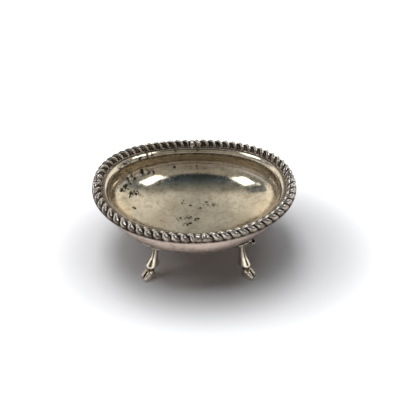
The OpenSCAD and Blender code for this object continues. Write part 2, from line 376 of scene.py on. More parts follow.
borderSize = {
    "fillet": 0.8 * mm,
    "crown": 2.6 * mm,
    "ledge": 0.1 * mm,
    "channelWidth": 0.7 * mm,
    "channelDepth": 0.45 * mm,
    "hollow": 1.05 * mm,
    "outerLobeShare": 1.0,
    "innerLobeShare": 0.5,
    "crestPlace": 0.54,
    "lobePower": 1.7,
    # dirt beside a crest: how wide in the hollow, how soon gone on the flat, and how dark the two fillets are: dirt
    # in the inner one, painted shade in the outer one
    "dirtWidth": 0.16,
    "dirtFade": 1.5,
    "innerDirt": 0.15,
    "outerShade": 0.65,
    "buttFill": 1.1 * mm,
    "buttStart": 0.44 * mm,
    "buttHollow": 0.22,
    "lobes": 16,
    "buttPlain": 0.87 * mm,
    "lean": 3.1 * mm,
    "sCurve": 0.08,
    "lobeSteps": 18,
    "crownSteps": 22,
    "edgeRound": 0.14 * mm,
    "quarters": ["border_back_right", "border_back_left", "border_front_left", "border_front_right"],
}
arcAngles = np.linspace(0, 2 * math.pi, 2881)
middleX, middleY = oval(rimHalfLength - bowlSize["borderWidth"] / 2, rimHalfWidth - bowlSize["borderWidth"] / 2,
                        bowlSize["rimFullness"], arcAngles)
middleZ = riseAt(middleX)
arcLengths = np.concatenate([[0], np.cumsum(np.sqrt(np.diff(middleX) ** 2 + np.diff(middleY) ** 2
                                                    + np.diff(middleZ) ** 2))])
sectionLength = arcLengths[-1] / 4
lobePitch = (sectionLength - 2 * borderSize["buttPlain"]) / borderSize["lobes"]


def grooveShare(phase, across):
    # 0 on a lobe's crest and 1 in the hollow, and 1 again for dirt only along the lobe's edge; the lobes touch outside
    # and taper towards the bowl
    crest = borderSize["crestPlace"]
    side = (phase - crest) / (1 - crest) if phase > crest else (crest - phase) / crest
    side /= mix(borderSize["outerLobeShare"], borderSize["innerLobeShare"], across)
    darkening = 1 - (1 - side) / borderSize["dirtWidth"] if side < 1 else 1 - (side - 1) / borderSize["dirtFade"]
    return min(1, side) ** borderSize["lobePower"], max(0, darkening)


def borderOutline(phase, filled):
    # inset from the outer edge, level, share across from outer to inner, and how dark it is: dirt in the hollows
    # and channel, painted shade on the outer face and the foot of the crown
    size = borderSize
    width = bowlSize["borderWidth"]
    lobe = width - size["channelWidth"] - size["ledge"]
    foot = borderBase + size["fillet"]
    channel = foot - size["channelDepth"]
    inner = size["ledge"] + lobe
    r = size["edgeRound"]
    # the outer face below the crown darkens upwards, from 0.3 to 0.6: painted shade
    outline = [(width, borderBase, 1, 0.5), (width / 2, borderBase, 0.5, 0), (r, borderBase, 0, 0),
               (0.3 * r, borderBase + 0.3 * r, 0, 0.3), (0, borderBase + r, 0, 0.4), (0, foot - r, 0, 0.6)]
    for j in range(size["crownSteps"] + 1):
        across = j / size["crownSteps"]
        angle = math.pi * across
        groove, darkening = grooveShare(phase, across)
        groove = mix(size["buttHollow"], groove, filled)
        cut = size["hollow"] * groove * (1 + math.sin(angle)) / 2
        inset = size["ledge"] + lobe / 2 - (lobe / 2 - cut) * math.cos(angle)
        fillet = size["innerDirt"] if across > 0.5 else size["outerShade"]
        outline.append((inset, foot + (size["crown"] - cut) * math.sin(angle), across,
                        max(darkening * filled, fillet * (1 - math.sin(angle)))))
    outline += [(inner, foot - 0.3 * size["channelDepth"], 1, 0.4), (inner + r, channel, 1, 0.4),
                (width - r, channel, 1, 0.25), (width, channel, 1, 0.25)]
    return outline


def buildBorder(name, quarter):
    size = borderSize
    gap = bowlSize["solder"] / 2
    stops = [(gap, 0)]
    for i in range(size["lobes"] * size["lobeSteps"] + 1):
        stops.append((size["buttPlain"] + lobePitch * i / size["lobeSteps"],
                      (i % size["lobeSteps"]) / size["lobeSteps"]))
    stops.append((sectionLength - gap, 0))
    fills = [float(smoothStep((min(place, sectionLength - place) - size["buttStart"]) / size["buttFill"]))
             for place, phase in stops]
    rings = np.array([borderOutline(phase, fill) for (place, phase), fill in zip(stops, fills)])
    piece, column, row = wrappedStrip(name.replace("border", "gadroon"), len(stops), rings.shape[1])
    place = np.array([stop[0] for stop in stops])[column]
    inset, level, across, hollow = rings[column, row].T
    fade = np.clip(np.minimum(place - size["buttPlain"], sectionLength - size["buttPlain"] - place) / lobePitch, 0, 1)
    # each lobe runs over the crown in an S, steeper in its middle than at its ends
    lean = 0.5 - across + size["sCurve"] * np.sin(2 * math.pi * across)
    along = np.clip(place + fade * size["lean"] * lean, gap, sectionLength - gap)
    angle = np.interp(quarter * sectionLength + along, arcLengths, arcAngles)
    x, y = oval(rimHalfLength - inset, rimHalfWidth - inset, bowlSize["rimFullness"], angle)
    setPoints(piece, np.stack([x, y, level + riseAt(x)], axis=1))
    keepShare(piece, "hollow", hollow)
    closeStrip(piece, 50)
    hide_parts(name)
    return piece


# Legs: shank, fetlock and pastern lofted down to two claws, then melted into one casting

legSize = {
    "tops": {"right": (19.5 * mm, 17.8 * mm), "left": (17.1 * mm, 16.8 * mm)},
    "turn": math.radians(34),
    "toeReach": 8.2 * mm,
    "shankWidth": 2.7 * mm,
    "fetlockWidth": 4.8 * mm,
    "fetlockLevel": 7 * mm,
    "hoofLength": 6.5 * mm,
    "hoofWidth": 5 * mm,
    "hoofHeight": 4.2 * mm,
    "cleft": 1 * mm,
    "depthShare": 1.06,
    "heelShare": 0.26,
    "sides": 32,
    "grain": 0.13 * mm,
    "clawBevel": 0.25 * mm,
    # painted darkening: angles from the front of two dark stripes down the shank, a painted reflection; what it
    # weighs in the stripes, round the pastern and in the cleft, the last two painted shade; and how deep a hollow
    # holds dirt fully
    "stripeTurn": 30,
    "stripeSpread": 13,
    "paintedDarkWeights": (0.75, 0.6, 0.8),
    "cavityDepth": 0.16 * mm,
    "cavityRounds": 14,
    # shares of the way up, of the toe's reach, of the width from shank to fetlock, and of the belly's tilt
    "shankShares": [(1, 0, 0.5, 1), (0.84, 0.02, 0.15, 0.45), (0.62, 0.07, 0, 0), (0.38, 0.15, 0.15, 0),
                    (0.18, 0.26, 0.55, 0), (0.04, 0.33, 0.95, 0), (0, 0.34, 1, 0)],
    # shares of the way from hoof to fetlock, of the reach and of the width
    "pasternShares": [(0.9, 0.355, 1), (0.82, 0.36, 0.85), (0.76, 0.365, 0.2), (0.6, 0.37, -0.1), (0.3, 0.39, -0.12),
                      (0, 0.42, 0.1), (-0.25, 0.44, 0.25), (-0.5, 0.46, 0.2)],
    # outline of a claw's sole, as shares of the length from the toe back and of its half width
    "clawShares": [(0.02, 0.2), (0.14, 0.03), (0.35, 0), (0.7, 0), (0.95, 0.02), (1, 0.3), (0.97, 0.62),
                   (0.82, 0.9), (0.58, 1), (0.32, 0.97), (0.12, 0.76), (0.02, 0.48)],
    # shares of the height, of the length kept and of the width kept
    "clawLevels": [(0, 0.96, 0.92), (0.1, 1, 1), (0.3, 0.95, 1), (0.55, 0.84, 0.94), (0.8, 0.69, 0.8),
                   (0.95, 0.56, 0.58), (1, 0.5, 0.4)],
    "heelLean": 0.06,
}
plateSize = {
    "thickness": 0.5 * mm,
    "width": 10.2 * mm,
    "reach": 5.6 * mm,
    "tail": 2.6 * mm,
    "turn": math.radians(57),
    "scallop": 0.55 * mm,
    "scallops": 5,
    "lift": 0.3 * mm,
    "sprungLift": 2.1 * mm,
    "hingeRun": 0.45,
    "fluteDepth": 0.14 * mm,
    "widthShares": [0.42, 0.66, 0.9, 1, 0.92],
    "columns": 101,
    "rows": 20,
    "edgeSteps": 4,
}


def plateUnder(x, y):
    return bellyAt(x, y) - (2 * bowlSize["solder"] + plateSize["thickness"]) * steepness(x, y)


def legRing(top, out, half, level, tilt, heel):
    size = legSize
    ring = []
    for i in range(size["sides"]):
        angle = 2 * math.pi * i / size["sides"]
        r = out + half * size["depthShare"] * math.cos(angle) - heel * max(0, -math.cos(angle))
        w = half * math.sin(angle)
        x = top[0] + r * math.cos(size["turn"]) - w * math.sin(size["turn"])
        y = top[1] + r * math.sin(size["turn"]) + w * math.cos(size["turn"])
        ring.append((x, y, level + tilt * (plateUnder(x, y) - plateUnder(*top))))
    return ring


def smoothShares(shares, steps):
    # rounds the run of listed stations into a flowing one
    table = np.array(shares, float)
    knots = np.arange(len(table))
    fine = np.linspace(0, len(table) - 1, (len(table) - 1) * steps + 1)
    slopes = np.gradient(table, axis=0)
    low = np.minimum(fine.astype(int), len(table) - 2)
    t = (fine - knots[low])[:, None]
    a, b, m, n = table[low], table[low + 1], slopes[low], slopes[low + 1]
    return ((2 * t ** 3 - 3 * t ** 2 + 1) * a + (t ** 3 - 2 * t ** 2 + t) * m
            + (3 * t ** 2 - 2 * t ** 3) * b + (t ** 3 - t ** 2) * n)


def loft(name, rings):
    # a ring drawn out ring by ring, with both its ends closed
    count = len(rings[0])
    deselectAll()
    bpy.ops.mesh.primitive_circle_add(vertices=count, radius=1, fill_type="NGON")
    piece = bpy.context.object
    piece.name = name
    bpy.ops.object.mode_set(mode="EDIT")
    bpy.ops.mesh.select_all(action="SELECT")
    for i in range(len(rings) - 1):
        bpy.ops.mesh.extrude_region_move(TRANSFORM_OT_translate={"value": (0, 0, 1)})
    bpy.ops.object.mode_set(mode="OBJECT")
    drawn = points(piece)
    level = np.rint(drawn[:, 2]).astype(int)
    turn = np.arctan2(drawn[:, 1], drawn[:, 0])
    start = np.arctan2(drawn[0, 1], drawn[0, 0])
    step = np.rint((turn - start) / (2 * math.pi) * count).astype(int) % count
    setPoints(piece, np.array(rings)[level, step])
    mergeAndTurnOut(piece)
    return piece


def clawRing(top, share, side):
    size = legSize
    outline = np.array(size["clawShares"])
    back = size["hoofLength"] * (1 - share[1] * (1 - outline[:, 0]) - size["heelLean"] * share[0])
    spread = np.maximum(0, 1 - outline[:, 0]) * size["cleft"] / 2
    w = side * (spread + (size["hoofWidth"] - size["cleft"]) / 2 * share[2] * outline[:, 1])
    r = size["toeReach"] - back
    x = top[0] + r * math.cos(size["turn"]) - w * math.sin(size["turn"])
    y = top[1] + r * math.sin(size["turn"]) + w * math.cos(size["turn"])
    return [(a, b, size["hoofHeight"] * share[0]) for a, b in zip(x, y)]


def paintedShadeAndReflection(leg, top):
    # painted darkening: two dark stripes down both sides of the shank, a painted reflection, and painted shade
    # round the pastern under the fetlock and in the cleft between the claws
    size = legSize
    at = points(leg) - np.array([top[0], top[1], 0])
    r = at[:, 0] * math.cos(size["turn"]) + at[:, 1] * math.sin(size["turn"])
    w = at[:, 1] * math.cos(size["turn"]) - at[:, 0] * math.sin(size["turn"])
    z = at[:, 2]
    shank = np.array(size["shankShares"])[::-1]
    levels = mix(size["fetlockLevel"], plateUnder(*top), shank[:, 0])
    turned = np.abs(np.degrees(np.arctan2(w, r - size["toeReach"] * np.interp(z, levels, shank[:, 1]))))
    # the two stripes, a painted reflection, between the fetlock and the top of the shank
    groove = np.exp(-((turned - size["stripeTurn"]) / size["stripeSpread"]) ** 2)
    groove *= smoothStep((z - size["fetlockLevel"] - 0.2 * mm) / (1.2 * mm)) * smoothStep((levels[-1] - z) / (2 * mm))
    pastern = smoothStep((z - size["hoofHeight"] + 0.3 * mm) / (0.6 * mm))
    pastern *= smoothStep((size["fetlockLevel"] - 0.9 * mm - z) / (0.5 * mm))
    cleft = smoothStep(1.4 - np.abs(w) / (size["cleft"] / 2)) * smoothStep((size["hoofHeight"] - z) / (0.6 * mm))
    return size["paintedDarkWeights"][0] * groove + size["paintedDarkWeights"][1] * pastern + size["paintedDarkWeights"][2] * cleft


def buildLeg(top):
    size = legSize
    rings = []
    for up, out, wide, tilt in smoothShares(size["shankShares"], 4):
        rings.append(legRing(top, size["toeReach"] * out, mix(size["shankWidth"], size["fetlockWidth"], wide) / 2,
                             mix(size["fetlockLevel"], plateUnder(*top), min(up, 1)), max(tilt, 0),
                             size["fetlockWidth"] * size["heelShare"] * (0 if up > 0.8 else max(wide, 0))))
    for up, out, wide in smoothShares(size["pasternShares"], 4):
        rings.append(legRing(top, size["toeReach"] * out, mix(size["shankWidth"], size["fetlockWidth"], wide) / 2,
                             mix(size["hoofHeight"], size["fetlockLevel"], up), 0,
                             size["fetlockWidth"] * size["heelShare"] * max(wide, 0)))
    leg = loft("hoof_leg", rings)
    claws = [loft("claw", [clawRing(top, share, side) for share in smoothShares(size["clawLevels"], 3)])
             for side in (1, -1)]
    for claw in claws:
        applyModifier(claw, "BEVEL", width=size["clawBevel"], segments=3, limit_method="ANGLE",
                      angle_limit=math.radians(35))
    pick(leg)
    for claw in claws:
        claw.select_set(True)
    bpy.ops.object.join()
    applyModifier(leg, "REMESH", mode="VOXEL", voxel_size=size["grain"], adaptivity=0)
    applyModifier(leg, "SMOOTH", factor=0.5, iterations=6)
    low = points(leg)
    low[:, 2] = np.maximum(low[:, 2], 0.001 * mm)
    setPoints(leg, low)
    cavities = cavityShare(leg, size["cavityDepth"], size["cavityRounds"])
    # the share holds dirt in the cavities plus the painted shade and painted reflection
    keepShare(leg, "hollow", np.clip(cavities + paintedShadeAndReflection(leg, top), 0, 1.2))
    pick(leg)
    bpy.ops.object.shade_smooth()
    return leg


def buildPlate(name, top, liftMinus, liftPlus):
    size = plateSize
    turns = [math.pi / 2 * i / size["edgeSteps"] for i in range(size["edgeSteps"] + 1)]
    # once round the plate: along its upper face, over the rounded edge and back underneath
    half = size["thickness"] / 2
    upper = [(i / size["rows"], -half) for i in range(size["rows"])]
    edge = [(1 + half * (math.sin(turn) - 1) / size["reach"], -half * math.cos(turn)) for turn in turns]
    loop = upper + edge + [(v, -depth) for v, depth in (upper + edge[:-1])[::-1]]
    piece, column, row = wrappedStrip(name, size["columns"], len(loop))
    u = 2 * column / (size["columns"] - 1) - 1
    v, depth = np.array(loop)[row].T
    shares = np.interp(v * (len(size["widthShares"]) - 1), range(len(size["widthShares"])), size["widthShares"])
    wave = np.abs(np.cos(math.pi / 2 * size["scallops"] * u)) - 1
    out = mix(-size["tail"], size["reach"] + size["scallop"] * (wave - u * u), v) - v * size["tail"] * u * u / 2
    x = top[0] + out * math.cos(size["turn"]) - u * size["width"] / 2 * shares * math.sin(size["turn"])
    y = top[1] + out * math.sin(size["turn"]) + u * size["width"] / 2 * shares * math.cos(size["turn"])
    sprung = smoothStep(np.abs(u) / size["hingeRun"])
    flute = size["fluteDepth"] * wave * smoothStep(v * 1.5 - 0.3) * np.clip(depth / half, 0, 1)
    gap = bowlSize["solder"] + np.where(u < 0, liftMinus, liftPlus) * sprung * v + half + depth + flute
    setPoints(piece, np.stack([x, y, bellyAt(x, y) - gap * steepness(x, y)], axis=1))
    under = np.clip(-wave * 0.9 * (depth > 0) * v + 0.5 * (1 - v), 0, 1)
    # the face towards the belly renders near black, a painted shadow in the gap between plate and belly
    keepShare(piece, "hollow", np.where(depth < -0.9 * half, 1.3, under))
    closeStrip(piece, 40)
    return piece


# Materials

# settings of the nodes used most
multiply, add, scaleAndAdd = {"operation": "MULTIPLY"}, {"operation": "ADD"}, {"operation": "MULTIPLY_ADD"}
larger, absolute, dotProduct = {"operation": "MAXIMUM"}, {"operation": "ABSOLUTE"}, {"operation": "DOT_PRODUCT"}
distanceTo, lengthOf = {"operation": "DISTANCE"}, {"operation": "LENGTH"}
smooth = {"interpolation_type": "SMOOTHSTEP"}
colourMix, colourMultiply, colourLighten = [{"data_type": "RGBA", "blend_type": kind}
                                            for kind in ("MIX", "MULTIPLY", "LIGHTEN")]


def newMaterial(name):
    made = bpy.data.materials.new(name)
    made.use_nodes = True
    made.node_tree.nodes.clear()
    return made, made.node_tree


def dress(piece, material):
    piece.data.materials.clear()
    piece.data.materials.append(material)


def scratches(tree, place, turn, size):
    # hairlines from wiping, as noise drawn out along one direction
    turned = addNode(tree, "Mapping", Vector=place, Rotation=(0, 0, math.radians(turn)), Scale=(1, 0.04, 0.3))
    return addNode(tree, "TexNoise", Vector=turned, Scale=1 / size, Detail=2.0, Roughness=0.6)


def nearPlaces(tree, place, spots):
    # 1 in the middle of any of the spots, each given as x, y and reach in mm, falling to 0 at its reach
    plan = addNode(tree, "VectorMath", multiply, place, (1, 1, 0))
    total = None
    for x, y, reach in spots:
        away = addNode(tree, "VectorMath", distanceTo, plan, (x * mm, y * mm, 0))
        near = addNode(tree, "MapRange", smooth, away, reach * mm, 0.0)
        total = near if total is None else addNode(tree, "Math", larger, total, near)
    return total


bowlFinish = {
    # size, detail and roughness of each cloud of noise; grit and hairlines are about ten times the real ones, which
    # would be too fine to show
    "broad": (11 * mm, 4.0, 0.6),
    "fine": (2.2 * mm, 4.0, 0.65),
    "grit": (0.5 * mm, 2.0, 0.6),
    "hammering": (5 * mm, 2.0, 0.5),
    "pitting": (1.1 * mm, 3.0, 0.6),
    "pitDistortion": 0.4,
    "hairline": 0.35 * mm,
    "hairlineTurns": (25, -50),
    "straw": [(0.3, "c3bba7"), (0.48, "dad2bd"), (0.6, "e2d9c6"), (0.72, "cfc0a1")],
    "rosy": [(0.3, "ab9a90"), (0.5, "bbaa9f"), (0.7, "c6b6ad")],
    "mottle": [(0.3, "d6d0c6"), (0.55, "ffffff"), (0.75, "ece4d8")],
    "stain": "9a8358",
    "film": "e6dccf",
    "reflectionColour": "f0dcba",
    "halo": "6b6252",
    "crust": "1c1a17",
    "stainShare": 0.55,
    "stainEdge": (0.35, 0.6),
    "filmShare": 0.8,
    "filmEdge": (0.1, 0.26),
    "filmRagged": 0.17,
    "haloShare": 0.6,
    # what the film and the painted golden reflection take from the bare metal's shine
    "filmDull": -0.3,
    "reflectionDull": -0.4,
    # where the painted golden reflection begins and is full: out from the middle, back to front, and up the wall
    "reflectionOut": (21 * mm, 27 * mm),
    "reflectionFront": (9 * mm, 0),
    "reflectionFoot": (20.6 * mm, 22.6 * mm),
    "reflectionTop": (31 * mm, 27 * mm),
    "reflectionRagged": 2 * mm,
    # where the black pits cluster, where they are peppered and where the brown stain lies, on the inside
    "pitted": [(-21, 22.6, 2.2), (-24, 21, 2.6), (-28, 17.8, 2.6), (-30, 15.5, 2.6), (-31.5, 12.5, 2.8),
               (-32.5, 10.5, 2.4), (-29, 10.5, 3), (-26.5, 12.5, 3), (-18.5, 23.3, 2), (-8.4, 27, 1.3),
               (2.3, 27.4, 1.3)],
    "peppered": [(-5, 11.5, 2.2), (-1.7, 9.5, 2), (6, 10.8, 2.6), (9.6, 9.4, 2.4), (-6.5, 1.6, 3.6), (-2.5, 2, 3.6),
                 (1.5, 0.8, 3.4), (-3, -2, 3.2), (3, 8, 1.5), (16.5, 3, 1.6), (-27, 4, 2)],
    "stained": [(-10.5, 9, 6), (-16, -1, 9), (5, 24, 8), (22, -4, 8)],
    "pittedShare": 0.245,
    "pepperedShare": 0.185,
    "pitEdge": (0.7, 0.745),
    "haloEdge": (0.6, 0.72),
    "pitDepth": 0.09 * mm,
    "waveDepth": 0.05 * mm,
    "gritDepth": 0.004 * mm,
    # between which two values of a cloud, or of the way up the wall, the roughness goes from one level to another
    "roughInside": (0.3, 0.75, 0.09, 0.17),
    "roughOutside": (0.3, 0.7, 0.3, 0.4),
    "roughUpWall": (0.5, 1.0, 0.0, 0.25),
    "roughByPits": 0.2,
}


def raisedSilver():
    # sterling silver: worn and pitted by salt inside, with a straw-coloured tarnish that warms what it mirrors and a
    # painted golden reflection low in the front corners; outside a dull, rosy brown film over stoned silver
    look = bowlFinish
    material, tree = newMaterial("raised_sterling_silver")
    place = addNode(tree, "TexCoord").outputs["Object"]
    inside = addNode(tree, "Attribute", {"attribute_name": "inside"}).outputs["Fac"]
    upWall = addNode(tree, "Attribute", {"attribute_name": "upWall"}).outputs["Fac"]
    x, y, z = addNode(tree, "SeparateXYZ", Vector=place).outputs
    clouds = {}
    for name in ("broad", "fine", "grit", "hammering", "pitting"):
        size, detail, roughness = look[name]
        clouds[name] = addNode(tree, "TexNoise", Vector=place, Scale=1 / size, Detail=detail, Roughness=roughness,
                               Distortion=look["pitDistortion"] if name == "pitting" else 0.0)
    # colours: straw and grey inside, rosy brown outside, each broken up by finer blotches
    straw = addNode(tree, "ValToRGB", {"stops": look["straw"]}, clouds["broad"])
    rosy = addNode(tree, "ValToRGB", {"stops": look["rosy"]}, clouds["broad"])
    mottle = addNode(tree, "ValToRGB", {"stops": look["mottle"]}, clouds["fine"])
    stain = addNode(tree, "Math", multiply, nearPlaces(tree, place, look["stained"]),
                    addNode(tree, "MapRange", smooth, clouds["fine"], *look["stainEdge"]))
    straw = addNode(tree, "Mix", colourMix, addNode(tree, "Math", multiply, stain, look["stainShare"]), straw,
                    hexColour(look["stain"]))
    # the upper wall, which salt and spoon seldom reach, keeps a duller film
    ragged = addNode(tree, "Math", scaleAndAdd, clouds["fine"], look["filmRagged"], upWall)
    film = addNode(tree, "MapRange", smooth, ragged, *look["filmEdge"])
    straw = addNode(tree, "Mix", colourMix, addNode(tree, "Math", multiply, film, look["filmShare"]), straw,
                    hexColour(look["film"]))
    # in the two front corners, low on the wall, a pale golden colour is painted in: a painted reflection, which also
    # dulls the metal there
    out = addNode(tree, "MapRange", smooth, addNode(tree, "Math", absolute, x), *look["reflectionOut"])
    paintedReflection = addNode(tree, "Math", multiply, out, addNode(tree, "MapRange", smooth, y, *look["reflectionFront"]))
    ragged = addNode(tree, "Math", scaleAndAdd, clouds["fine"], look["reflectionRagged"], z)
    for edge in ("reflectionFoot", "reflectionTop"):
        paintedReflection = addNode(tree, "Math", multiply, paintedReflection, addNode(tree, "MapRange", smooth, ragged, *look[edge]))
    straw = addNode(tree, "Mix", colourMix, addNode(tree, "Math", multiply, paintedReflection, look["filmShare"]), straw,
                    hexColour(look["reflectionColour"]))
    tint = addNode(tree, "Mix", colourMultiply, 1.0, addNode(tree, "Mix", colourMix, inside, rosy, straw), mottle)
    # pits: thick round the upper left wall, peppered over the bottom, a stray one anywhere inside
    heavy = addNode(tree, "Math", multiply, nearPlaces(tree, place, look["pitted"]), look["pittedShare"])
    light = addNode(tree, "Math", multiply, nearPlaces(tree, place, look["peppered"]), look["pepperedShare"])
    seeds = addNode(tree, "Math", add, clouds["pitting"], addNode(tree, "Math", larger, heavy, light))
    pits, halo = [addNode(tree, "Math", multiply, addNode(tree, "MapRange", smooth, seeds, *look[edge]), inside)
                  for edge in ("pitEdge", "haloEdge")]
    tint = addNode(tree, "Mix", colourMix, addNode(tree, "Math", multiply, halo, look["haloShare"]), tint,
                   hexColour(look["halo"]))
    # relief: slow waves from the hammer, the pits sunk in, grit and hairlines
    relief = addNode(tree, "Bump", Strength=1.0, Distance=look["waveDepth"], Height=clouds["hammering"])
    relief = addNode(tree, "Bump", {"invert": True}, Strength=1.0, Distance=look["pitDepth"], Height=pits,
                     Normal=relief)
    relief = addNode(tree, "Bump", Strength=0.5, Distance=look["gritDepth"], Height=clouds["grit"], Normal=relief)
    for turn in look["hairlineTurns"]:
        relief = addNode(tree, "Bump", Strength=0.35, Distance=look["gritDepth"],
                         Height=scratches(tree, place, turn, look["hairline"]), Normal=relief)
    # gloss: bright where the spoon rubs, duller by the pits, up the wall and outside
    worn = addNode(tree, "MapRange", smooth, clouds["fine"], *look["roughInside"])
    dull = addNode(tree, "MapRange", smooth, clouds["broad"], *look["roughOutside"])
    rough = addNode(tree, "Mix", None, inside, dull, worn)
    rough = addNode(tree, "Math", add, rough, addNode(tree, "Math", multiply, halo, look["roughByPits"]))
    rough = addNode(tree, "Math", add, rough, addNode(tree, "MapRange", smooth, upWall, *look["roughUpWall"]))
    metalShare = 1.0
    for layer, dulling in ((film, look["filmDull"]), (paintedReflection, look["reflectionDull"])):
        layer = addNode(tree, "Math", multiply, layer, inside)
        metalShare = addNode(tree, "Math", scaleAndAdd, layer, dulling, metalShare)
    silver = addNode(tree, "BsdfPrincipled", Base_Color=tint, Metallic=metalShare, Roughness=rough, Normal=relief)
    crust = addNode(tree, "BsdfPrincipled", Base_Color=hexColour(look["crust"]), Roughness=0.6, Normal=relief)
    addNode(tree, "OutputMaterial", Surface=addNode(tree, "MixShader", None, pits, silver, crust))
    return material


borderFinish = {
    # cast border: crests rubbed bright with use, flanks greyed, hollows packed with black-brown sulphide and old
    # polish, the outer face darkened as painted shade
    "name": "oxidised_cast_silver",
    # size, detail, roughness, gain and offset of each cloud that breaks up the dirt; the grain, here and on the legs
    # and plates, is several times as coarse as the real one, which would be too fine to show
    "blotches": [(1.6 * mm, 4.0, 0.65, 0.7, -0.3), (9 * mm, 2.0, 0.5, 0.3, -0.15)],
    "grain": 0.3 * mm,
    "tints": [(0.05, "c6c1bb"), (0.3, "a69e96"), (0.5, "756b62"), (0.75, "3d342b"), (1.0, "211b15")],
    # between which two values of the dirt the roughness goes from one level to another
    "gloss": (0.05, 0.8, 0.08, 0.36),
    "grainDepth": 0.02 * mm,
    "blotchDepth": 0.05 * mm,
    "crust": "17130f",
    "crustEdge": (0.75, 1.1, 0.0, 0.8),
}
legFinish = {
    # cast legs, kept bright by handling, with dark dirt wherever the casting turns inwards, painted shade round the
    # pastern and in the cleft, and dark stripes of painted reflection down the shank
    "name": "polished_cast_silver",
    "blotches": [(1.4 * mm, 4.0, 0.65, 0.5, -0.25)],
    "grain": 0.35 * mm,
    "tints": [(0.05, "dcd3c3"), (0.25, "c4b59c"), (0.45, "7d6c54"), (0.65, "2c251c")],
    "gloss": (0.1, 0.6, 0.07, 0.35),
    "grainDepth": 0.005 * mm,
    "blotchDepth": 0.03 * mm,
}
plateFinish = {
    # thin plates, dull with tarnish, dark along the flutes and where solder and dirt have run at the leg, and near
    # black on the face towards the belly, a painted shadow in the gap under the plate
    "name": "tarnished_sheet_silver",
    "blotches": [(1.8 * mm, 4.0, 0.65, 0.8, -0.4)],
    "grain": 0.3 * mm,
    # the last stop, near black, is the painted shadow on the face towards the belly
    "tints": [(0.05, "c4bba9"), (0.3, "9c917d"), (0.6, "5d5343"), (0.85, "30291f"), (1.0, "0b0907")],
    "gloss": (0.1, 0.8, 0.26, 0.45),
    "grainDepth": 0.015 * mm,
    "blotchDepth": 0.04 * mm,
}


def dirtAndShadeSilver(look):
    # silver darkened by the piece's hollow share and blotches, which also take its gloss: dirt in its hollows, and
    # painted shade and reflection on the legs, painted shadow on the plates, painted shade on the border's outer face
    material, tree = newMaterial(look["name"])
    place = addNode(tree, "TexCoord").outputs["Object"]
    darkening = addNode(tree, "Attribute", {"attribute_name": "hollow"}).outputs["Fac"]
    blotches = []
    for size, detail, roughness, gain, offset in look["blotches"]:
        blotches.append(addNode(tree, "TexNoise", Vector=place, Scale=1 / size, Detail=detail, Roughness=roughness))
        darkening = addNode(tree, "Math", add, darkening, addNode(tree, "Math", scaleAndAdd, blotches[-1], gain, offset))
    grain = addNode(tree, "TexNoise", Vector=place, Scale=1 / look["grain"], Detail=2.0, Roughness=0.6)
    relief = addNode(tree, "Bump", Strength=1.0, Distance=look["grainDepth"], Height=grain)
    relief = addNode(tree, "Bump", Strength=1.0, Distance=look["blotchDepth"], Height=blotches[0], Normal=relief)
    shader = addNode(tree, "BsdfPrincipled", Base_Color=addNode(tree, "ValToRGB", {"stops": look["tints"]}, darkening),
                     Metallic=1.0, Roughness=addNode(tree, "MapRange", smooth, darkening, *look["gloss"]), Normal=relief)
    if "crust" in look:
        crust = addNode(tree, "BsdfPrincipled", Base_Color=hexColour(look["crust"]), Roughness=0.7, Normal=relief)
        share = addNode(tree, "MapRange", smooth, darkening, *look["crustEdge"])
        shader = addNode(tree, "MixShader", None, share, shader, crust)
    addNode(tree, "OutputMaterial", Surface=shader)
    return material


# Pieces

bowl = buildBowl()
dress(bowl, raisedSilver())
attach(bowl, "root")
print("bowl raised:", len(bowl.data.polygons), "faces")

castSilver = dirtAndShadeSilver(borderFinish)
for quarter, name in enumerate(borderSize["quarters"]):
    section = buildBorder(name, quarter)
    dress(section, castSilver)
    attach(section, "root")
print("border cast:", len(section.data.polygons), "faces a section")

corners = [("back_right", False, False), ("front_right", False, True), ("back_left", True, False),
           ("front_left", True, True)]
polishedSilver = dirtAndShadeSilver(legFinish)
sheetSilver = dirtAndShadeSilver(plateFinish)
for corner, flipX, flipY in corners:
    top = legSize["tops"][corner.split("_")[1]]
    pattern = buildLeg(top)
    leg = mirrored(pattern, "hoof_leg_" + corner, flipX, flipY)
    bpy.data.objects.remove(pattern)
    dress(leg, polishedSilver)
    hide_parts("leg_" + corner)
    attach(leg, "root")
    sprung = plateSize["sprungLift"] if corner == "front_right" else plateSize["lift"]
    pattern = buildPlate("plate_pattern", top, sprung, plateSize["lift"])
    plate = mirrored(pattern, "scalloped_plate_" + corner, flipX, flipY)
    bpy.data.objects.remove(pattern)
    dress(plate, sheetSilver)
    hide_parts("shell_plate_" + corner)
    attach(plate, "root")
print("legs cast:", len(leg.data.polygons), "faces each, plates cut:", len(plate.data.polygons), "faces each")


# Floor, light and camera

